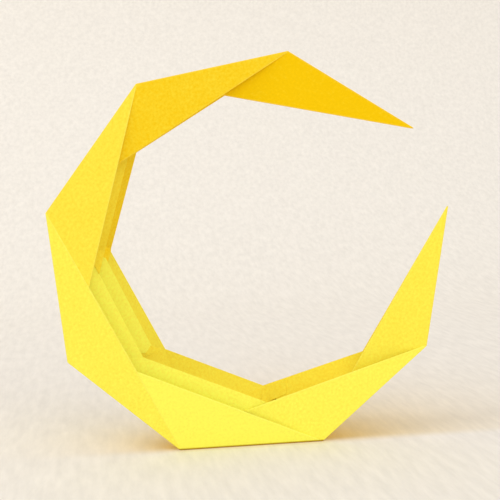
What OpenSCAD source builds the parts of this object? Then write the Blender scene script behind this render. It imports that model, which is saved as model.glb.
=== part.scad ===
// Paper crescent moon, folded from one square sheet.
// The outer rim is one long fold, bent at seven crimps. Front and back halves and the plies
// tucked between them all open towards the middle of the moon. Millimetres, Z up, X along the
// foot, -Y towards the viewer.

/* [Paper] */
// Side of the square sheet before folding
sheet_side = 150; // [75:1:300]
// Thickness of the doubled paper of a front or back panel
panel_ply = 0.24; // [0.2:0.02:0.6]
// Thickness of a tucked inner ply
inner_ply = 0.18; // [0.14:0.01:0.3]

/* [Crimps] */
// Turn of the rim at each crimp once the fold is opened
bend = 41.89; // [38:0.01:44.9]
// Angle of a free edge to its own rim fold, on the two panels next to the tips
wedge_tip = 21; // [20:0.1:24]
// The same angle on the panels after those
wedge_next = 22.3; // [20:0.1:24]
// The same angle on the panels beside the middle one
wedge_mid = 23; // [20:0.1:24]
// How far each front panel leans back from the plane of the rim
front_lean = 18.8; // [14:0.1:20]
// Length of front panel tucked under the next one, as a share of a rim side
tuck = 0.03; // [0.01:0.01:0.06]

/* [Back half] */
// Inward width at the crimp next to the upper tip, as a share of a rim side
back_upper_tip_width = 0.322; // [0.31:0.001:0.35]
// Inward width at the crimp below it
back_upper_far_width = 0.388; // [0.37:0.001:0.41]
// Inward width at the crimp above the middle one
back_upper_near_width = 0.484; // [0.47:0.001:0.5]
// Inward width at the middle crimp
back_mid_width = 0.56; // [0.54:0.001:0.58]
// Inward width at the crimp below the middle one
back_lower_near_width = 0.505; // [0.49:0.001:0.52]
// Inward width at the crimp above the one next to the lower tip
back_lower_far_width = 0.401; // [0.38:0.001:0.42]
// Inward width at the crimp next to the lower tip
back_lower_tip_width = 0.297; // [0.28:0.001:0.32]
// Slope of the middle plies from the plane of the rim
back_lean = 44.5; // [43:0.5:48]
// Slope of the plies at the crimps two away from the middle one
back_far_lean = 36; // [34:0.5:40]
// Slope of the plies next to the tips
back_tip_lean = 34; // [32:0.5:38]

/* [Tucked plies] */
// Upper ply's inner edge over the middle crimp, its upper end: distance along the rim, in rim sides
upper_high_along = 0.53; // [0.5:0.01:0.56]
// The same end: distance inward
upper_high_width = 0.441; // [0.43:0.001:0.45]
// Upper ply's inner edge, its bend: distance along the rim
upper_meet_along = 0.317; // [0.3:0.001:0.33]
// The same bend: distance inward
upper_meet_width = 0.41; // [0.4:0.001:0.42]
// Upper ply's inner edge over the crimp below, its lower end: distance along the rim
upper_low_along = 0.585; // [0.56:0.005:0.6]
// The same end: distance inward
upper_low_width = 0.436; // [0.43:0.001:0.45]
// Depth of the upper ply behind the rim, as a share of the back half's depth
upper_share = 0.86; // [0.85:0.005:0.87]
// Lower ply's inner edge over the crimp above the middle one, its upper end: distance along the rim
lower_high_along = 0.464; // [0.44:0.001:0.48]
// The same end: distance inward
lower_high_width = 0.433; // [0.42:0.001:0.44]
// Lower ply's inner edge, its bend: distance along the rim
lower_meet_along = 0.256; // [0.24:0.001:0.27]
// The same bend: distance inward
lower_meet_width = 0.441; // [0.43:0.001:0.45]
// Lower ply's inner edge over the middle crimp, its lower end: distance along the rim
lower_low_along = 0.349; // [0.34:0.001:0.38]
// The same end: distance inward
lower_low_width = 0.492; // [0.48:0.001:0.5]
// Depth of the lower ply behind the rim, as a share of the back half's depth
lower_share = 0.93; // [0.92:0.005:0.94]

/* [Foot] */
// Width to which the fold under the moon is pressed flat
foot_width = 3; // [2.6:0.1:4]
// Depth to which the fold is cut by the surface that it stands on
foot_press = 0.12; // [0.1:0.01:0.16]
// Forward lean that brings the weight over the foot
stance = 5; // [0:0.1:15]

/* [Hidden] */
yellow = [1.0, 0.85, 0.08];
rim_sides = 8;
foot_side = 6;
middle_crimp = 4;
side = sheet_side * sqrt(2) / rim_sides;
half_bend = bend / 2;
// Inward drop of a corner's tangent over half a side
half_drop = sin(half_bend) / 2;
// Distance along a chord, from either end, at which the next chord crosses it
chord_cross = 0.5 / cos(half_bend);
chord_length = 2 * cos(half_bend);
// Distance between the two folds at the edges of the pressed foot
foot_span = foot_width - panel_ply;
// Overlap of each ply past its folds
lap = 0.025;

// Unit vector along a direction in the plane of the rim
function along(a) = [cos(a), 0, sin(a)];
// Unit vector inward of that direction, leaning back by an angle
function inward(a, lean) = [-sin(a) * cos(lean), sin(lean), cos(a) * cos(lean)];
// Heading of a rim side, and of the tangent at a corner
function side_angle(k) = (k - foot_side) * bend;
function corner_angle(j) = (j - foot_side) * bend + half_bend;

// Corners of the rim, counted from the upper tip
function corner(j) = j < foot_side
    ? corner(j + 1) - along(side_angle(j + 1)) * side
    : j == foot_side ? [side / 2, 0, 0] : corner(j - 1) + along(side_angle(j)) * side;

// Point in the plane of the rim: u along the tangent of corner j, d inward of it, both in rim sides
function at_corner(j, u, d) = corner(j)
    + along(corner_angle(j)) * u * side
    + inward(corner_angle(j), 0) * d * side;

// Where two inner edges of unlike width cross, as an offset along the side between them
function cross_offset(d_before, d_after) = (d_before - d_after) / (2 * sin(half_bend));

// Angle of the free edge of the front panel on side k
wedge_angles = [0, wedge_tip, wedge_next, wedge_mid, 0, 0, wedge_mid, wedge_next, wedge_tip];
// Third corner of a front panel, along its free edge from the end of its side nearer to a tip
function panel_end(k) = (k < middle_crimp ? corner(k - 1) : corner(k))
    + ((k < middle_crimp ? 1 : -1) * along(side_angle(k)) * cos(wedge_angles[k])
    + inward(side_angle(k), front_lean) * sin(wedge_angles[k]))
    * side * (chord_length - chord_cross + tuck);

// Corners of the back half's inner edge, one on each rim side from the second to the seventh
back_width = [0, back_upper_tip_width, back_upper_far_width, back_upper_near_width, back_mid_width,
    back_lower_near_width, back_lower_far_width, back_lower_tip_width];
back_slope = [0, back_tip_lean, back_far_lean, back_lean, back_lean,
    back_lean, back_far_lean, back_tip_lean];
function back_corner(k) = let (
    s = cross_offset(back_width[k - 1], back_width[k]),
    d = (back_width[k - 1] + back_width[k]) / 2,
    lean = (back_slope[k - 1] + back_slope[k]) / 2,
    h = (d - half_drop) / cos(half_bend))
    (corner(k - 1) + corner(k)) / 2 + along(side_angle(k)) * s * side
    + [-sin(side_angle(k)) * h, d * tan(lean), cos(side_angle(k)) * h] * side;

// Unit vector, and the turn that lays the Z axis along it
function unit(v) = v / norm(v);
function turn(n) = [0, acos(n[2]), atan2(n[1], n[0])];
function across(r) = [cos(r[1]) * cos(r[2]), cos(r[1]) * sin(r[2]), -sin(r[1])];
function up(r) = [-sin(r[2]), cos(r[2]), 0];

// Outline of a convex, counter-clockwise polygon moved outward by a margin
function edge_normal(a, b) = [(b - a)[1], -(b - a)[0]] / norm(b - a);
function grown(p, margin) = [for (i = [0:len(p) - 1]) let (
    n = len(p),
    u = edge_normal(p[(i + n - 1) % n], p[i]),
    v = edge_normal(p[i], p[(i + 1) % n]))
    p[i] + (u + v) * margin / (1 + u * v)];

// One flat ply through three or more corners that lie in a plane, lapped into its neighbours
module ply(points, thickness) {
    r = turn(unit(cross(points[1] - points[0], points[2] - points[0])));
    translate(points[0])
        rotate(r)
            linear_extrude(thickness, center = true)
                polygon(grown([for (p = points) [(p - points[0]) * across(r), (p - points[0]) * up(r)]], lap));
}

// Place of a tucked ply's corner over side k, at a share of the depth of the back half there
function depth_on(t, p) = let (n = cross(t[1] - t[0], t[2] - t[0]))
    t[0][1] - (n[0] * (p[0] - t[0][0]) + n[2] * (p[2] - t[0][2])) / n[1];
function tucked(k, share, p) =
    [p[0], share * depth_on([corner(k - 1), corner(k), back_corner(k)], p), p[2]];

module front_half() {
    for (k = [1:3])
        ply([corner(k - 1), corner(k), panel_end(k)], panel_ply);
    ply([corner(3), corner(4), corner(5)], panel_ply);
    for (k = [6:8])
        ply([corner(k - 1), corner(k), panel_end(k)], panel_ply);
}

module back_half() {
    for (k = [2:5])
        ply([corner(k - 1), corner(k), back_corner(k)], panel_ply);
    ply([corner(6), corner(7), back_corner(7)], panel_ply);
    ply([corner(0), corner(1), back_corner(2)], panel_ply);
    ply([corner(7), corner(8), back_corner(7)], panel_ply);
    for (j = [2:6])
        ply([corner(j), back_corner(j), back_corner(j + 1)], panel_ply);
}

module upper_ply() {
    high = tucked(4, upper_share, at_corner(4, -upper_high_along, upper_high_width));
    meet = tucked(5, upper_share, at_corner(4, upper_meet_along, upper_meet_width));
    low = tucked(6, upper_share, at_corner(5, upper_low_along, upper_low_width));
    ply([corner(4), high, meet], inner_ply);
    ply([corner(4), corner(5), meet], inner_ply);
    ply([corner(5), meet, low], inner_ply);
}

module lower_ply() {
    high = tucked(3, lower_share, at_corner(3, -lower_high_along, lower_high_width));
    meet = tucked(4, lower_share, at_corner(3, lower_meet_along, lower_meet_width));
    low = tucked(5, lower_share, at_corner(4, lower_low_along, lower_low_width));
    ply([corner(3), high, meet], inner_ply);
    ply([corner(3), corner(4), meet], inner_ply);
    ply([corner(4), meet, low], inner_ply);
}

// The fold that the moon stands on, pressed flat between two folds, with the back rising from the rear one
module foot() {
    rear = foot_span * [0, cos(stance), -sin(stance)];
    low_corner = back_corner(foot_side);
    ply([corner(5), corner(6), corner(6) + rear, corner(5) + rear], panel_ply);
    ply([corner(5) + rear, corner(6) + rear, low_corner], panel_ply);
    ply([corner(5), corner(5) + rear, low_corner], panel_ply);
    ply([corner(6), corner(6) + rear, low_corner], panel_ply);
}

module folded_sheet() {
    color(yellow)
        difference() {
            union() {
                translate([0, -foot_span / 2, panel_ply / 2 - foot_press])
                    rotate([stance, 0, 0]) {
                        front_half();
                        back_half();
                        upper_ply();
                        lower_ply();
                        foot();
                    }
            }
            translate([-sheet_side / 2, -sheet_side / 2, -sheet_side])
                cube(sheet_side);
        }
}

folded_sheet();
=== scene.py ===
"""Paper crescent moon: dresses the folded sheet and sets the floor, the light and the camera.

Lengths are metres. The moon's own sizes are the ones of its solid, given in millimetres in FoldedMoon.
"""

import logging
from dataclasses import dataclass
from enum import Enum
from typing import Any

import bpy
import numpy as np
from mathutils import Matrix


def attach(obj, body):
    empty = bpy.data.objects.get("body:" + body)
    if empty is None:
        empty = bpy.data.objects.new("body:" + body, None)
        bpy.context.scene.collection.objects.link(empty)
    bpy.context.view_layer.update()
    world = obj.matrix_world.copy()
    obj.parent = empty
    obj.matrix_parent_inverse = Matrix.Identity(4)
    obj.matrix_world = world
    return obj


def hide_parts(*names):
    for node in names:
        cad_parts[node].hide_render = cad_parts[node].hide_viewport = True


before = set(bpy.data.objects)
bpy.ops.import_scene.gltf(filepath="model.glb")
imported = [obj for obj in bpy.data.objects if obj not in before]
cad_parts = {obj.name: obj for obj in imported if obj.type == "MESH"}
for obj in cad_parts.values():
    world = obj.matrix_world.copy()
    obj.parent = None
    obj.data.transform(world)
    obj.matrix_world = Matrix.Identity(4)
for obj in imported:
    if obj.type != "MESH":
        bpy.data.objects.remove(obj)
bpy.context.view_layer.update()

MM = 0.001
LOG = logging.getLogger("paper_moon")


# Shader maths


class Signal:
    """A socket of a material, so that sums on values add their Math nodes."""

    def __init__(self, bench: "NodeBench", socket: Any) -> None:
        """Keep the bench that makes nodes, and the output socket."""
        self.bench = bench
        self.socket = socket

    def _join(self, operation: str, first: Any, second: Any) -> "Signal":
        """Add one Math node.

        Args:
            operation: the Math node's operation.
            first: a Signal or a number.
            second: a Signal or a number.

        Returns:
            The node's value.
        """
        return self.bench.make("ShaderNodeMath", {"operation": operation}, {0: first, 1: second})

    def __add__(self, other: Any) -> "Signal":
        """self + other."""
        return self._join("ADD", self, other)

    def __radd__(self, other: Any) -> "Signal":
        """other + self."""
        return self._join("ADD", other, self)

    def __sub__(self, other: Any) -> "Signal":
        """self - other."""
        return self._join("SUBTRACT", self, other)

    def __rsub__(self, other: Any) -> "Signal":
        """other - self."""
        return self._join("SUBTRACT", other, self)

    def __mul__(self, other: Any) -> "Signal":
        """self * other."""
        return self._join("MULTIPLY", self, other)

    def __rmul__(self, other: Any) -> "Signal":
        """other * self."""
        return self._join("MULTIPLY", other, self)


class NodeBench:
    """Makes the nodes of one material."""

    def __init__(self, name: str) -> None:
        """Start an empty material of that name."""
        self.material = bpy.data.materials.new(name)
        self.material.use_nodes = True
        self.tree = self.material.node_tree
        self.tree.nodes.clear()

    def make(self, kind: str, settings: dict[str, Any], inputs: dict[Any, Any], output: Any = 0) -> Signal:
        """Make one node: its type, then its settings, then its inputs.

        Args:
            kind: the node's type.
            settings: properties of the node, set before its inputs.
            inputs: values or Signals by socket name or number.
            output: name or number of the output that is returned.

        Returns:
            That output, ready for shader maths.
        """
        node = self.tree.nodes.new(kind)
        for key, value in settings.items():
            setattr(node, key, value)
        for key, value in inputs.items():
            if isinstance(value, Signal):
                self.tree.links.new(value.socket, node.inputs[key])
            else:
                node.inputs[key].default_value = value
        return Signal(self, node.outputs[output] if len(node.outputs) else None)

    def ramp(self, value: Signal, low: float, high: float) -> Signal:
        """Smooth step of a value.

        Args:
            value: the value.
            low: where the step starts, at 0.
            high: where it ends, at 1.

        Returns:
            The step's height, from 0 to 1.
        """
        return self.make(
            "ShaderNodeMapRange",
            {"interpolation_type": "SMOOTHSTEP"},
            {"Value": value, "From Min": low, "From Max": high, "To Min": 0.0, "To Max": 1.0},
        )

    def noise(self, place: Signal, scale: float, detail: float, roughness: float = 0.5) -> Signal:
        """Soft noise at a place.

        Args:
            place: the place, in metres.
            scale: cells to the metre.
            detail: number of finer layers.
            roughness: strength of the finer layers.

        Returns:
            The noise, from 0 to 1.
        """
        return self.make(
            "ShaderNodeTexNoise",
            {},
            {"Vector": place, "Scale": scale, "Detail": detail, "Roughness": roughness},
        )

    def mix(self, factor: Any, first: Any, second: Any, blend: str = "MIX") -> Signal:
        """Mix two colours.

        Args:
            factor: share of the second colour.
            first: the first colour.
            second: the second colour.
            blend: the Mix node's blend type.

        Returns:
            The mixed colour.
        """
        return self.make(
            "ShaderNodeMix",
            {"data_type": "RGBA", "blend_type": blend},
            {0: factor, 6: first, 7: second},
            2,
        )

    def finish(self, shader: Signal) -> bpy.types.Material:
        """Send a shader to the material's output and hand the material over."""
        self.make("ShaderNodeOutputMaterial", {}, {"Surface": shader})
        return self.material


def linear(red: int, green: int, blue: int) -> tuple[float, float, float, float]:
    """Turn an 8 bit display colour into a linear one.

    With c the display value over 255, it is ((c + 0.055) / 1.055) ^ 2.4, or c / 12.92 near black.

    Args:
        red: red, from 0 to 255.
        green: green, from 0 to 255.
        blue: blue, from 0 to 255.

    Returns:
        Linear red, green and blue, and an alpha of 1.
    """
    c = np.array([red, green, blue]) / 255.0
    value = np.where(c > 0.04045, ((c + 0.055) / 1.055) ** 2.4, c / 12.92)
    return (*(float(x) for x in value), 1.0)


# Finishes


@dataclass(frozen=True)
class YellowPaper:
    """Smooth, dyed folding paper: fine fibre, faint clouding, and a painted highlight along the folds of the
    front plies.

    The colour runs from a shaded orange yellow at the upper tip to a lit lemon yellow at the foot, and darker
    on the tucked and back plies: this is painted shade and light, as the sheet has one dye. A per-vertex
    attribute says where between the two a point lies. A dark amber line of painted shade marks the contact
    with the board.
    """

    shaded_orange: tuple[int, int, int] = (252, 206, 6)
    lit_lemon: tuple[int, int, int] = (255, 252, 94)
    painted_fold_highlight: tuple[int, int, int] = (255, 250, 170)
    roughness: float = 0.62
    cloud_cells: float = 260.0
    mottle_cells: float = 1900.0
    fibre_cells: float = 2600.0
    mottle_depth: float = 0.1
    cloud_tone: float = 0.14
    mottle_tone: float = 0.55
    highlight_strength: float = 0.12
    fibre_gloss: float = 0.12
    foot_line: tuple[float, float] = (0.10 * MM, 0.42 * MM)
    foot_edge: tuple[int, int, int] = (168, 124, 16)
    highlight_width: float = 0.22 * MM
    fibre_height: float = 0.012 * MM

    def material(self) -> bpy.types.Material:
        """Make the finish from the piece's own UV map and its edge, ply and painted shading attributes.

        Returns:
            The material.
        """
        bench = NodeBench("yellow_paper")
        flat = bench.make("ShaderNodeUVMap", {"uv_map": "paper"}, {})
        turn = bench.make("ShaderNodeAttribute", {"attribute_name": "ply"}, {}, "Fac")
        shift = bench.make("ShaderNodeCombineXYZ", {}, {"Z": turn})
        place = bench.make("ShaderNodeVectorMath", {"operation": "ADD"}, {0: flat, 1: shift})
        edge = bench.make("ShaderNodeAttribute", {"attribute_name": "edge"}, {}, "Fac")
        tone = bench.make("ShaderNodeAttribute", {"attribute_name": "tone"}, {}, "Fac")
        clouds = bench.noise(place, self.cloud_cells, 3.0)
        mottle = bench.noise(place, self.mottle_cells, 2.0, 0.6)
        fibre = bench.noise(place, self.fibre_cells, 2.0, 0.6)
        # Painted shading: each ply is set from a shaded orange at 0 to a lit lemon at 1; the clouds and
        # mottle add the paper's own random tone.
        shading_and_mottle = tone + (clouds - 0.5) * self.cloud_tone + (mottle - 0.5) * self.mottle_tone
        body = bench.mix(shading_and_mottle, linear(*self.shaded_orange), linear(*self.lit_lemon))
        shade = 1.0 + (mottle + fibre - 1.0) * self.mottle_depth
        body = bench.make("ShaderNodeVectorMath", {"operation": "SCALE"}, {0: body, "Scale": shade})
        # Painted highlight: a paler line along the folds of the front plies, where the rounded folds catch
        # the light.
        fold_highlight = (1.0 - bench.ramp(edge, 0.0, self.highlight_width)) * (clouds * self.highlight_strength)
        colour = bench.mix(fold_highlight, body, linear(*self.painted_fold_highlight))
        # Painted shade: the sheet darkens to amber in its lowest 0.42 mm, where the fold meets the board.
        solid = bench.make("ShaderNodeTexCoord", {}, {}, "Object")
        rise = bench.make("ShaderNodeSeparateXYZ", {}, {"Vector": solid}, "Z")
        foot = bench.ramp(rise, *self.foot_line)
        colour = bench.mix(foot, linear(*self.foot_edge), colour)
        height = fibre * 0.5 + mottle * 0.3 + clouds * 0.2
        bump = bench.make(
            "ShaderNodeBump", {}, {"Strength": 0.5, "Distance": self.fibre_height, "Height": height}
        )
        rough = self.roughness + (fibre - 0.5) * self.fibre_gloss
        shader = bench.make(
            "ShaderNodeBsdfPrincipled",
            {},
            {
                "Base Color": colour,
                "Roughness": rough,
                "Normal": bump,
                "IOR": 1.4,
                "Specular IOR Level": 0.06,
            },
        )
        return bench.finish(shader)


@dataclass(frozen=True)
class CreamBoard:
    """Uncoated cream board of the studio: a fine felt grain, a touch darker on the floor than on the wall,
    and a painted yellow shadow behind the moon's foot.
    """

    floor: tuple[int, int, int] = (237, 232, 225)
    wall: tuple[int, int, int] = (241, 236, 228)
    floor_ends: float = 0.03
    wall_starts: float = 0.17
    grain_cells: float = 620.0
    tooth_cells: float = 1500.0
    grain_stretch: float = 0.2
    grain_depth: float = 0.13
    roughness: float = 0.9
    tooth_height: float = 0.05 * MM
    shadow_tint: tuple[float, float, float] = (0.88, 0.63, 0.17)
    foot_half: float = 13.4 * MM
    shadow_reach: tuple[float, float] = (7.0 * MM, 20.0 * MM)
    shadow_front: tuple[float, float] = (-3.5 * MM, 0.8 * MM)

    def material(self) -> bpy.types.Material:
        """Make the finish from Object coordinates, with the grain drawn out along Y on the floor.

        Returns:
            The material.
        """
        bench = NodeBench("cream_board")
        place = bench.make("ShaderNodeTexCoord", {}, {}, "Object")
        depth = bench.make("ShaderNodeSeparateXYZ", {}, {"Vector": place}, "Y")
        fibres = bench.make(
            "ShaderNodeVectorMath", {"operation": "MULTIPLY"}, {0: place, 1: (1.0, self.grain_stretch, 1.0)}
        )
        grain = bench.noise(fibres, self.grain_cells, 3.0, 0.6)
        tooth = bench.noise(fibres, self.tooth_cells, 2.0)
        far = bench.ramp(depth, self.floor_ends, self.wall_starts)
        board = bench.mix(far, linear(*self.floor), linear(*self.wall))
        # Painted shadow: the board behind the foot is darkened and tinted yellow.
        board = bench.mix(self.painted_yellow_shadow(bench, place), board, (*self.shadow_tint, 1.0), "MULTIPLY")
        shade = 1.0 + (grain - 0.5) * (2.0 * self.grain_depth)
        colour = bench.make("ShaderNodeVectorMath", {"operation": "SCALE"}, {0: board, "Scale": shade})
        height = grain * 0.6 + tooth * 0.4
        bump = bench.make(
            "ShaderNodeBump", {}, {"Strength": 0.3, "Distance": self.tooth_height, "Height": height}
        )
        shader = bench.make(
            "ShaderNodeBsdfPrincipled",
            {},
            {"Base Color": colour, "Roughness": self.roughness, "Normal": bump, "Specular IOR Level": 0.1},
        )
        return bench.finish(shader)

    def painted_yellow_shadow(self, bench: NodeBench, place: Signal) -> Signal:
        """Share of the painted shadow on the board behind the moon's foot, darkened and tinted yellow as if
        lit off and through the paper.

        With d the distance on the floor to the foot's line, the share is exp(-d / reach), where the
        reach grows from the left to the right side. It ends in front of the foot.

        Args:
            bench: the material's bench.
            place: Object coordinates.

        Returns:
            The share, from 0 to 1.
        """
        x = bench.make("ShaderNodeSeparateXYZ", {}, {"Vector": place}, "X")
        y = bench.make("ShaderNodeSeparateXYZ", {}, {"Vector": place}, "Y")
        beside = bench.make("ShaderNodeMath", {"operation": "ABSOLUTE"}, {0: x}) - self.foot_half
        beside = bench.make("ShaderNodeMath", {"operation": "MAXIMUM"}, {0: beside, 1: 0.0})
        behind = bench.make("ShaderNodeMath", {"operation": "MAXIMUM"}, {0: y, 1: 0.0})
        far = bench.make("ShaderNodeMath", {"operation": "SQRT"}, {0: beside * beside + behind * behind})
        left, right = self.shadow_reach
        reach = left + bench.ramp(x, -self.foot_half, self.foot_half) * (right - left)
        fall = bench.make("ShaderNodeMath", {"operation": "DIVIDE"}, {0: far * -1.0, 1: reach})
        share = bench.make("ShaderNodeMath", {"operation": "EXPONENT"}, {0: fall})
        return share * bench.ramp(y, *self.shadow_front)


# The folded sheet


class Layer(Enum):
    """Where a ply lies in the folded sheet, from the front to the back."""

    FRONT = "front"
    UPPER = "upper"
    LOWER = "lower"
    BACK = "back"
    FOOT = "foot"
    LAP = "lap"


@dataclass
class Ply:
    """One flat stretch of the folded sheet between its folds, as a thin slab with rounded edges.

    The slab is a grid of two parameters. One runs round the outline. The other runs from the middle of
    the front face out to the edge, round it, and back to the middle of the rear face. A ring at the
    inset w is the outline shrunk towards the centre of its inscribed circle by 1 - w / radius.
    """

    corners: np.ndarray
    thickness: float
    layer: Layer
    tone: float
    seed: int
    per_edge: int = 22
    face_rings: int = 13
    round_rings: int = 7
    cockle: float = 0.02

    def frame(self) -> tuple[np.ndarray, np.ndarray, np.ndarray]:
        """Work out the ply's plane.

        Returns:
            Two unit vectors in the plane, and its normal, towards the front where the ply faces it.
        """
        across = self.corners[1] - self.corners[0]
        across = across / np.linalg.norm(across)
        normal = np.cross(across, self.corners[2] - self.corners[0])
        normal = normal / np.linalg.norm(normal)
        if normal[1] > 0:
            normal = -normal
        return across, np.cross(normal, across), normal

    def outline(self, flat: np.ndarray) -> tuple[np.ndarray, np.ndarray, np.ndarray, float]:
        """Points along the outline, their outward directions, and the inscribed circle.

        Args:
            flat: corners in the ply's plane, one row each, counter-clockwise.

        Returns:
            The outline's points, a unit vector outward at each, the circle's centre and its radius,
            in millimetres. At a corner the vector halves the angle between those of the two edges.
        """
        after = np.roll(flat, -1, axis=0)
        step = (np.arange(self.per_edge) / self.per_edge)[None, :, None]
        ease = 0.5 - 0.5 * np.cos(np.pi * step)
        points = (flat[:, None] * (1 - ease) + after[:, None] * ease).reshape(-1, 2)
        length = np.linalg.norm(after - flat, axis=1)
        outward = np.stack([(after - flat)[:, 1], -(after - flat)[:, 0]], 1) / length[:, None]
        corner = outward + np.roll(outward, 1, axis=0)
        away = np.repeat(outward[:, None], self.per_edge, axis=1)
        away[:, 0] = corner / np.linalg.norm(corner, axis=1)[:, None]
        away = away.reshape(-1, 2)
        area = abs(np.sum(flat[:, 0] * after[:, 1] - flat[:, 1] * after[:, 0])) / 2
        if len(flat) == 3:
            opposite = np.roll(length, -1)
            centre = (flat * opposite[:, None]).sum(0) / opposite.sum()
            return points, away, centre, 2 * area / length.sum()
        return points, away, flat.mean(0), length.min() / 2

    def profile(self, radius: float) -> tuple[np.ndarray, np.ndarray]:
        """Inset and height of each ring, from the front face round the edge to the rear face.

        The faces lie at plus and minus half the thickness. The edge is a half circle round the
        outline itself, w = -r cos(a), h = r sin(a), so that two plies meet in one round fold.

        Args:
            radius: radius of the outline's inscribed circle, in millimetres.

        Returns:
            The inset and the height of each ring, in millimetres.
        """
        half = self.thickness / 2
        turn = np.linspace(np.pi / 2, -np.pi / 2, self.round_rings)
        edge_inset = -half * np.cos(turn)
        face = radius * np.linspace(0.93, 0.0, self.face_rings, endpoint=False) ** 2.2
        inset = np.concatenate([face, edge_inset, face[::-1]])
        height = np.concatenate([np.full(len(face), half), half * np.sin(turn), np.full(len(face), -half)])
        return inset, height

    def waviness(self, flat: np.ndarray, inset: np.ndarray, radius: float) -> np.ndarray:
        """Height of the sheet's slight cockle, which fades to nothing at the folds.

        h = c f (0.5 sin(p x + q y + t) + 0.5 sin(r y - s x + v) + l), with c the cockle, f the smooth
        step of inset / (0.6 radius), and p, q, r, s, t, v and l drawn from the ply's seed.

        Args:
            flat: places in the ply's plane, in millimetres.
            inset: their distance from the edge.
            radius: radius of the outline's inscribed circle.

        Returns:
            The height at each place, in millimetres.
        """
        draw = np.random.default_rng(self.seed)
        p, q, r, s = draw.uniform(0.12, 0.38, 4)
        lift = draw.uniform(-0.6, 0.6)
        one, two = draw.uniform(0, 6.28, 2)
        t = np.clip(inset / (0.6 * radius), 0, 1)
        fade = t * t * (3 - 2 * t)
        x, y = flat[..., 0], flat[..., 1]
        wave = 0.5 * np.sin(p * x + q * y + one) + 0.5 * np.sin(r * y - s * x + two) + lift
        return self.cockle * fade * wave

    def build(self) -> tuple[np.ndarray, list[np.ndarray], np.ndarray, np.ndarray]:
        """Work out the slab.

        Returns:
            Vertices in millimetres, faces, flat coordinates of each vertex, and its distance to the edge.
        """
        across, upward, normal = self.frame()
        origin = self.corners[0]
        flat = (self.corners - origin) @ np.stack([across, upward], 1)
        turn = flat[:, 0] * np.roll(flat[:, 1], -1) - flat[:, 1] * np.roll(flat[:, 0], -1)
        if turn.sum() < 0:
            flat = flat[::-1]
        points, away, centre, radius = self.outline(flat)
        inset, height = self.profile(radius)
        shrink = (1 - np.maximum(inset, 0) / radius)[:, None, None]
        grid = centre + (points - centre)[None] * shrink + away[None] * np.maximum(-inset, 0)[:, None, None]
        poles = np.stack([centre, centre])[:, None]
        wave = self.waviness(grid, np.maximum(inset, 0)[:, None], radius)
        tip = self.waviness(poles, np.array([[radius], [radius]]), radius)
        half = self.thickness / 2
        plane = np.concatenate([grid.reshape(-1, 2), poles.reshape(-1, 2)])
        lift = np.concatenate([(height[:, None] + wave).ravel(), (tip + np.array([[half], [-half]])).ravel()])
        gap = np.concatenate([np.repeat(np.maximum(inset, 0), len(points)), [radius, radius]])
        # Inner plies are pushed past the reach of the painted fold highlight.
        if self.layer is not Layer.FRONT:
            gap = gap + radius
        vertices = origin + plane[:, :1] * across + plane[:, 1:] * upward + lift[:, None] * normal
        rows, count = len(inset), len(points)
        i, j = np.meshgrid(np.arange(rows - 1), np.arange(count), indexing="ij")
        k = (j + 1) % count
        quads = np.stack([i * count + j, (i + 1) * count + j, (i + 1) * count + k, i * count + k], -1)
        quads = quads.reshape(-1, 4)
        around = np.arange(count)
        ahead = (around + 1) % count
        last = (rows - 1) * count
        top = np.stack([around, ahead, np.full(count, rows * count)], 1)
        under = np.stack([last + ahead, last + around, np.full(count, rows * count + 1)], 1)
        return vertices, [quads, top, under], plane, gap


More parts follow.
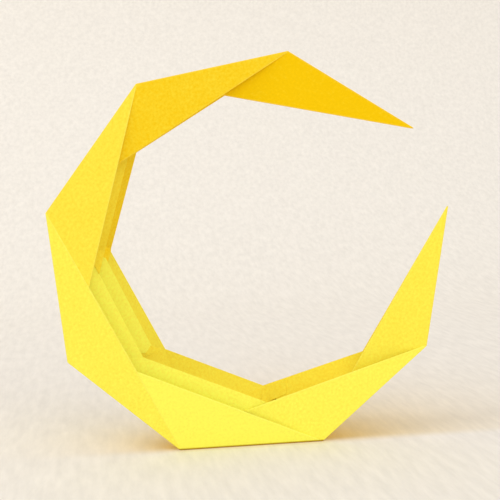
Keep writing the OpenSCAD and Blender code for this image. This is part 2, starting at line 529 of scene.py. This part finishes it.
@dataclass
class FoldedMoon:
    """The one square sheet, folded into a crescent. Millimetres, degrees, or shares of a rim side."""

    sheet_side: float = 150.0
    panel_ply: float = 0.24
    inner_ply: float = 0.18
    bend: float = 41.89
    wedge: tuple[float, ...] = (0.0, 21.0, 22.3, 23.0, 0.0, 0.0, 23.0, 22.3, 21.0)
    front_lean: float = 18.8
    tuck: tuple[float, ...] = (0.0, 0.03, 0.03, 0.10, 0.0, 0.0, 0.10, 0.03, 0.03)
    back_width: tuple[float, ...] = (0.0, 0.322, 0.388, 0.484, 0.560, 0.505, 0.401, 0.297)
    back_slope: tuple[float, ...] = (0.0, 34.0, 36.0, 44.5, 44.5, 44.5, 36.0, 34.0)
    upper_high: tuple[float, float] = (-0.530, 0.441)
    upper_meet: tuple[float, float] = (0.317, 0.410)
    upper_low: tuple[float, float] = (0.585, 0.436)
    upper_share: float = 0.86
    lower_high: tuple[float, float] = (-0.464, 0.433)
    lower_meet: tuple[float, float] = (0.256, 0.441)
    lower_low: tuple[float, float] = (0.349, 0.492)
    lower_share: float = 0.93
    foot_width: float = 3.0
    foot_press: float = 0.12
    stance: float = 5.0
    eye: tuple[float, float, float] = (0.0, 0.0, 0.0)
    depth_kept: tuple[float, ...] = (0.0, 0.60, 0.28, 0.02, 0.0, 0.0, 0.02, 0.28, 0.75)
    lap_gap: float = 0.12
    upper_kept: float = 0.32
    lower_kept: float = 0.55
    # Painted shading of each ply: low values give the shaded orange and high values the lit lemon; the
    # tucked, back and crimp plies are set darker where they lie in shade.
    front_shading: tuple[float, ...] = (0.0, -0.03, 0.15, 0.54, 0.78, 0.78, 1.02, 0.86, 0.66)
    tucked_shading: tuple[float, ...] = (0.0, 0.0, 0.2, 0.38, 0.88, 0.92, 0.95, 0.8, 0.6)
    back_shading: tuple[float, ...] = (0.0, 0.0, 0.12, 0.22, 0.62, 0.50, 0.46, 0.50, 0.30)
    crimp_shading: tuple[float, ...] = (0.0, 0.0, 0.1, 0.18, 0.58, 0.50, 0.46)

    def __post_init__(self) -> None:
        """Work out what follows from the sizes."""
        self.side = self.sheet_side * np.sqrt(2) / 8
        self.half_bend = np.radians(self.bend / 2)
        self.foot_span = self.foot_width - self.panel_ply
        self.corners = self._rim()

    def _rim(self) -> np.ndarray:
        """Corners of the rim: each side turns by the bend, and the sixth lies on the floor."""
        heading = np.radians((np.arange(1, 9) - 6) * self.bend)
        steps = np.stack([np.cos(heading), 0 * heading, np.sin(heading)], 1) * self.side
        points = np.concatenate([[np.zeros(3)], np.cumsum(steps, 0)])
        return points - points[6] + np.array([self.side / 2, 0, 0])

    def along(self, angle: float) -> np.ndarray:
        """Unit vector along a heading in the plane of the rim."""
        return np.array([np.cos(angle), 0.0, np.sin(angle)])

    def inward(self, angle: float, lean: float = 0.0) -> np.ndarray:
        """Unit vector inward of a heading, leaning back by an angle in degrees."""
        back = np.radians(lean)
        return np.array([-np.sin(angle) * np.cos(back), np.sin(back), np.cos(angle) * np.cos(back)])

    def slide(self, point: np.ndarray, kept: float) -> np.ndarray:
        """Bring a point forward along its line to the eye, until that share of its depth is left."""
        sight = point - np.array(self.eye)
        return point - sight * (1 - kept) * point[1] / sight[1]

    def panel_end(self, k: int) -> np.ndarray:
        """Third corner of a front panel, along its free edge.

        Args:
            k: the panel's rim side, from 1 to 8.

        Returns:
            The corner, in millimetres.
        """
        angle, wedge = np.radians((k - 6) * self.bend), np.radians(self.wedge[k])
        start, way = (self.corners[k - 1], 1) if k < 4 else (self.corners[k], -1)
        reach = self.side * (2 * np.cos(self.half_bend) - 0.5 / np.cos(self.half_bend) + self.tuck[k])
        edge = way * self.along(angle) * np.cos(wedge) + self.inward(angle, self.front_lean) * np.sin(wedge)
        return self.slide(start + edge * reach, self.depth_kept[k])

    def back_corner(self, k: int) -> np.ndarray:
        """Corner of the back half's inner edge, where the edges of unlike width cross.

        Args:
            k: the rim side that it lies on, from 2 to 7.

        Returns:
            The corner, in millimetres.
        """
        near, far = self.back_width[k - 1], self.back_width[k]
        slide, depth = (near - far) / (2 * np.sin(self.half_bend)), (near + far) / 2
        lean = np.radians((self.back_slope[k - 1] + self.back_slope[k]) / 2)
        rise = (depth - np.sin(self.half_bend) / 2) / np.cos(self.half_bend)
        angle = np.radians((k - 6) * self.bend)
        middle = (self.corners[k - 1] + self.corners[k]) / 2 + self.along(angle) * slide * self.side
        return middle + (self.inward(angle) * rise + np.array([0, depth * np.tan(lean), 0])) * self.side

    def at_corner(self, j: int, u: float, d: float) -> np.ndarray:
        """Point in the plane of the rim, u along the tangent of corner j and d inward of it."""
        angle = np.radians((j - 6) * self.bend) + self.half_bend
        return self.corners[j] + (self.along(angle) * u + self.inward(angle) * d) * self.side

    def tucked(self, k: int, share: float, point: np.ndarray) -> np.ndarray:
        """Move a point to a share of the depth of the back half.

        Args:
            k: the rim side that the point lies over.
            share: the share of the depth.
            point: the point, in millimetres.

        Returns:
            The point at that depth.
        """
        a, b, c = self.corners[k - 1], self.corners[k], self.back_corner(k)
        n = np.cross(b - a, c - a)
        depth = a[1] - (n[0] * (point[0] - a[0]) + n[2] * (point[2] - a[2])) / n[1]
        return np.array([point[0], share * depth, point[2]])

    def front_plies(self) -> list[np.ndarray]:
        """Triangles of the front panels, the widest of them over the middle crimp.

        Returns:
            The corners of each ply, one row each, in millimetres.
        """
        c = self.corners
        panels = [[c[k - 1], c[k], self.panel_end(k)] for k in (1, 2, 3, 6, 7, 8)]
        return [np.array(t) for t in panels + [[c[3], c[4], c[5]]]]

    def back_plies(self) -> list[np.ndarray]:
        """Triangles of the back half: one on each rim side, and one at each crimp between them.

        Returns:
            The corners of each ply, one row each, in millimetres.
        """
        c = self.corners
        sides = [[c[k - 1], c[k], self.back_corner(k)] for k in (2, 3, 4, 5, 7)]
        tips = [[c[0], c[1], self.back_corner(2)], [c[7], c[8], self.back_corner(7)]]
        crimps = [[c[j], self.back_corner(j), self.back_corner(j + 1)] for j in (2, 3, 4, 5, 6)]
        return [np.array(t) for t in sides + tips + crimps]

    def upper_plies(self) -> list[np.ndarray]:
        """Triangles of the upper tucked ply.

        Returns:
            The corners of each ply, one row each, in millimetres.
        """
        c = self.corners
        places = [(4, self.at_corner(4, *self.upper_high)), (5, self.at_corner(4, *self.upper_meet))]
        places.append((6, self.at_corner(5, *self.upper_low)))
        deep = [self.tucked(k, self.upper_share, place) for k, place in places]
        high, meet, low = [self.slide(point, self.upper_kept) for point in deep]
        return [np.array(t) for t in ([c[4], high, meet], [c[4], c[5], meet], [c[5], meet, low])]

    def lower_plies(self) -> list[np.ndarray]:
        """Triangles of the lower tucked ply.

        Returns:
            The corners of each ply, one row each, in millimetres.
        """
        c = self.corners
        places = [(3, self.at_corner(3, *self.lower_high)), (4, self.at_corner(3, *self.lower_meet))]
        places.append((5, self.at_corner(4, *self.lower_low)))
        deep = [self.tucked(k, self.lower_share, place) for k, place in places]
        high, meet, low = [self.slide(point, self.lower_kept) for point in deep]
        return [np.array(t) for t in ([c[3], high, meet], [c[3], c[4], meet], [c[4], meet, low])]

    def foot_plies(self) -> list[np.ndarray]:
        """The pressed fold under the moon and the stretches that rise from its rear edge.

        Returns:
            The corners of each ply, one row each, in millimetres.
        """
        stance = np.radians(self.stance)
        rear = self.foot_span * np.array([0, np.cos(stance), -np.sin(stance)])
        left, right, top = self.corners[5], self.corners[6], self.back_corner(6)
        shapes = [
            [left, right, right + rear, left + rear],
            [left + rear, right + rear, top],
            [left, left + rear, top],
            [right, right + rear, top],
        ]
        return [np.array(t) for t in shapes]

    def laps(self) -> list[np.ndarray]:
        """Pointed ends of the pleats where a ply of one crimp runs on over those of the next.

        Each lap is given by places along and inward of a crimp, with their depth, in rim sides. Its
        corners then go forward along their lines to the eye, to just in front of the ply under it.

        Returns:
            The corners of each lap, one row each, in millimetres.
        """
        upper, lower, back = self.upper_plies(), self.lower_plies(), self.back_plies()
        strip_end = [(-0.449, 0.439, 0.273), (-0.374, 0.437, 0.278)]
        strip_end += [(-0.477, 0.532, 0.337), (-0.522, 0.506, 0.314)]
        inner_end = [(0.270, 0.441, 0.479), (0.322, 0.487, 0.532)]
        inner_end += [(0.228, 0.488, 0.515), (0.206, 0.442, 0.467)]
        middle_end = [(0.374, 0.539, 0.471), (0.302, 0.493, 0.429), (0.330, 0.425, 0.372)]
        foot_left = [(0.493, 0.490, 0.370), (0.381, 0.424, 0.329), (0.500, 0.365, 0.290)]
        foot_right = [(-0.261, 0.307, 0.309), (-0.097, 0.314, 0.285)]
        foot_right += [(-0.053, 0.393, 0.345), (-0.239, 0.390, 0.377)]
        shapes = [
            (4, upper[0], strip_end),
            (3, lower[1], inner_end),
            (4, lower[2], middle_end),
            (5, back[10], foot_left),
            (6, back[11], foot_right),
        ]
        return [np.array([self.lay_on(under, j, *place) for place in places]) for j, under, places in shapes]

    def lay_on(self, under: np.ndarray, j: int, u: float, d: float, depth: float) -> np.ndarray:
        """Set a place of a crimp just in front of a ply's plane, on its line to the eye.

        Args:
            under: corners of the ply under it.
            j: the crimp.
            u: distance along the crimp's tangent, in rim sides.
            d: distance inward.
            depth: distance back.

        Returns:
            The place, in millimetres.
        """
        point = self.at_corner(j, u, d) + np.array([0, depth * self.side, 0])
        eye = np.array(self.eye)
        sight = (point - eye) / np.linalg.norm(point - eye)
        normal = np.cross(under[1] - under[0], under[2] - under[0])
        reach = normal @ (under[0] - eye) / (normal @ sight)
        return eye + sight * (reach - self.lap_gap)

    def stand(self, points: np.ndarray) -> np.ndarray:
        """Lean points of the rim's frame forward and set them over the foot.

        Args:
            points: one row each, in millimetres.

        Returns:
            The points as they stand, in metres.
        """
        angle = np.radians(self.stance)
        x, y, z = points.T
        forward = y * np.cos(angle) - z * np.sin(angle)
        upward = y * np.sin(angle) + z * np.cos(angle)
        over_foot = np.array([0, -self.foot_span / 2, self.panel_ply / 2 - self.foot_press])
        return (np.stack([x, forward, upward], 1) + over_foot) * MM

    def plies(self) -> list[Ply]:
        """All plies of the sheet in order.

        Returns:
            The plies, each with the painted shading of its place along the rim, darker where it lies deeper
            in the fold.
        """
        front, tucked, back = self.front_shading, self.tucked_shading, self.back_shading
        crimp = self.crimp_shading
        side_shadings = [back[k] for k in (2, 3, 4, 5, 7, 1, 8)]
        groups = [
            (Layer.FRONT, self.front_plies(), self.panel_ply, [front[k] for k in (1, 2, 3, 6, 7, 8, 4)]),
            (Layer.UPPER, self.upper_plies(), self.inner_ply, [tucked[4], tucked[4], tucked[5]]),
            (Layer.LOWER, self.lower_plies(), self.inner_ply, [tucked[3], tucked[4], tucked[4]]),
            (Layer.BACK, self.back_plies(), self.panel_ply, side_shadings + list(crimp[2:])),
            (Layer.FOOT, self.foot_plies(), self.panel_ply, [back[6]] * 4),
            (Layer.LAP, self.laps(), self.inner_ply, [tucked[3], crimp[3], crimp[5], crimp[6], crimp[6]]),
        ]
        made: list[Ply] = []
        for layer, shapes, thickness, shadings in groups:
            for shape, tone in zip(shapes, shadings):
                made.append(Ply(shape, thickness, layer, tone, seed=11 + len(made)))
        return made

    def build(self, finish: YellowPaper) -> bpy.types.Object:
        """Make the sheet as one mesh and dress it.

        Args:
            finish: the paper's finish.

        Returns:
            The piece that stands for the folded sheet.
        """
        vertices, faces, plane, gap, turn, tone = [], [], [], [], [], []
        start = 0
        for number, ply in enumerate(self.plies()):
            points, face_sets, flat, edge = ply.build()
            vertices.append(self.stand(points))
            faces += [row for group in face_sets for row in (group + start).tolist()]
            plane.append(flat * MM)
            gap.append(edge * MM)
            turn.append(np.full(len(points), 0.37 * number))
            tone.append(np.full(len(points), ply.tone))
            start += len(points)
        place = np.concatenate(vertices)
        place[:, 2] = np.maximum(place[:, 2], 0.0)
        mesh = bpy.data.meshes.new("folded_paper")
        mesh.from_pydata(place.tolist(), [], faces)
        mesh.shade_smooth()
        loops = np.zeros(len(mesh.loops), np.int32)
        mesh.loops.foreach_get("vertex_index", loops)
        paper = mesh.uv_layers.new(name="paper")
        paper.uv.foreach_set("vector", np.concatenate(plane)[loops].astype(np.float32).ravel())
        for name, values in (("edge", gap), ("ply", turn), ("tone", tone)):
            layer = mesh.attributes.new(name, "FLOAT", "POINT")
            layer.data.foreach_set("value", np.concatenate(values).astype(np.float32))
        mesh.materials.append(finish.material())
        mesh.update()
        piece = bpy.data.objects.new("folded_paper", mesh)
        bpy.context.scene.collection.objects.link(piece)
        return piece


# The studio


@dataclass
class Sweep:
    """One board that is the floor and curves up behind the moon."""

    front: float = -1.2
    back: float = 0.14
    radius: float = 0.16
    height: float = 0.9
    half_width: float = 0.9
    around: int = 90
    across: int = 24

    def build(self, finish: CreamBoard) -> bpy.types.Object:
        """Make the board: a profile of a straight, a quarter circle and a straight, carried along X.

        Args:
            finish: the board's finish.

        Returns:
            The floor.
        """
        turn = np.linspace(0, np.pi / 2, self.around)
        floor = np.stack([np.linspace(self.front, self.back, 40, endpoint=False), np.zeros(40)], 1)
        bend = np.stack([self.back + self.radius * np.sin(turn), self.radius * (1 - np.cos(turn))], 1)
        rise = np.linspace(self.radius, self.height, 11)[1:]
        wall = np.stack([np.full(len(rise), self.back + self.radius), rise], 1)
        profile = np.concatenate([floor, bend, wall])
        width = np.linspace(-self.half_width, self.half_width, self.across)
        x, row = np.meshgrid(width, np.arange(len(profile)), indexing="ij")
        place = np.stack([x, profile[row, 0], profile[row, 1]], -1).reshape(-1, 3)
        i, j = np.meshgrid(np.arange(len(width) - 1), np.arange(len(profile) - 1), indexing="ij")
        n = len(profile)
        faces = np.stack([i * n + j, (i + 1) * n + j, (i + 1) * n + j + 1, i * n + j + 1], -1).reshape(-1, 4)
        mesh = bpy.data.meshes.new("studio_floor")
        mesh.from_pydata(place.tolist(), [], faces.tolist())
        mesh.shade_smooth()
        mesh.materials.append(finish.material())
        board = bpy.data.objects.new("studio_floor", mesh)
        bpy.context.scene.collection.objects.link(board)
        return board


@dataclass(frozen=True)
class SoftBox:
    """One soft lamp that points at the moon."""

    name: str
    place: tuple[float, float, float]
    size: float
    power: float
    colour: tuple[float, float, float] = (1.0, 0.99, 0.975)

    def build(self, target: tuple[float, float, float] = (0.0, 0.0, 0.03)) -> bpy.types.Object:
        """Hang the lamp and turn it to the target.

        Args:
            target: the place that it points at.

        Returns:
            The lamp.
        """
        lamp = bpy.data.lights.new(self.name, "AREA")
        lamp.shape = "DISK"
        lamp.size = self.size
        lamp.energy = self.power
        lamp.color = self.colour
        body = bpy.data.objects.new(self.name, lamp)
        away = np.array(self.place) - np.array(target)
        away = away / np.linalg.norm(away)
        side = np.cross([0.0, 0.0, 1.0], away)
        side = side / np.linalg.norm(side)
        axes = np.eye(4)
        axes[:3, 0], axes[:3, 1], axes[:3, 2], axes[:3, 3] = side, np.cross(away, side), away, self.place
        body.matrix_world = Matrix(axes.tolist())
        bpy.context.scene.collection.objects.link(body)
        return body


@dataclass(frozen=True)
class Studio:
    """The room's even light and its lamps."""

    room: tuple[float, float, float] = (1.0, 0.99, 0.98)
    room_strength: float = 0.76
    lamps: tuple[SoftBox, ...] = (
        SoftBox("left_box", (-0.60, -0.26, 0.70), 0.45, 1.8),
        SoftBox("front_box", (0.22, -0.82, 0.56), 0.90, 2.2),
    )

    def build(self) -> None:
        """Set the room's light and hang the lamps."""
        world = bpy.data.worlds.new("room")
        world.use_nodes = True
        air = world.node_tree.nodes["Background"]
        air.inputs["Color"].default_value = (*self.room, 1.0)
        air.inputs["Strength"].default_value = self.room_strength
        bpy.context.scene.world = world
        for lamp in self.lamps:
            lamp.build()


@dataclass(frozen=True)
class PhotoCamera:
    """The photograph's view, measured in the plane of the rim and stood up with the moon."""

    yaw: float = -10.31
    pitch: float = 10.78
    roll: float = 0.48
    aim: tuple[float, float, float] = (-0.03, 0.0, 1.39)
    distance: float = 6.02
    lens: float = 64.8
    sensor: float = 36.0

    def back(self) -> np.ndarray:
        """Unit vector from the aim back to the camera, in the rim's frame."""
        yaw, pitch = np.radians([self.yaw, self.pitch])
        return np.array([np.sin(yaw) * np.cos(pitch), -np.cos(yaw) * np.cos(pitch), np.sin(pitch)])

    def eye(self, side: float) -> np.ndarray:
        """The camera's place in the rim's frame, in millimetres, for a rim side of that length."""
        return (np.array(self.aim) + self.back() * self.distance) * side

    def build(self, moon: FoldedMoon) -> bpy.types.Object:
        """Place the camera: aim and distance are in rim sides, the angles in degrees.

        Args:
            moon: the moon whose stance the camera shares.

        Returns:
            The scene's camera.
        """
        yaw, roll = np.radians([self.yaw, self.roll])
        back = self.back()
        right = np.array([np.cos(yaw), np.sin(yaw), 0.0])
        above = np.cross(back, right)
        side = right * np.cos(roll) + above * np.sin(roll)
        up = above * np.cos(roll) - right * np.sin(roll)
        place = self.eye(moon.side)
        rows = moon.stand(np.stack([place, place + side, place + up, place + back]))
        axes = np.eye(4)
        axes[:3, :3] = ((rows[1:] - rows[0]) / MM).T
        axes[:3, 3] = rows[0]
        lens = bpy.data.cameras.new("photo_camera")
        lens.lens = self.lens
        lens.sensor_width = self.sensor
        lens.clip_start = 0.01
        camera = bpy.data.objects.new("photo_camera", lens)
        camera.matrix_world = Matrix(axes.tolist())
        bpy.context.scene.collection.objects.link(camera)
        bpy.context.scene.camera = camera
        return camera


def main() -> None:
    """Build the moon, the floor, the light and the camera in order."""
    logging.basicConfig(level=logging.INFO, format="%(name)s: %(message)s")
    camera = PhotoCamera()
    moon = FoldedMoon(eye=tuple(camera.eye(FoldedMoon().side)))
    paper = moon.build(YellowPaper())
    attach(paper, "root")
    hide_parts("folded_sheet")
    LOG.info("folded paper: %d plies, %d faces", len(moon.plies()), len(paper.data.polygons))
    board = Sweep().build(CreamBoard())
    LOG.info("studio floor: %d faces", len(board.data.polygons))
    Studio().build()
    camera.build(moon)
    bpy.context.scene.view_settings.view_transform = "Standard"
    LOG.info("light and camera set")


if __name__ == "__main__":
    main()
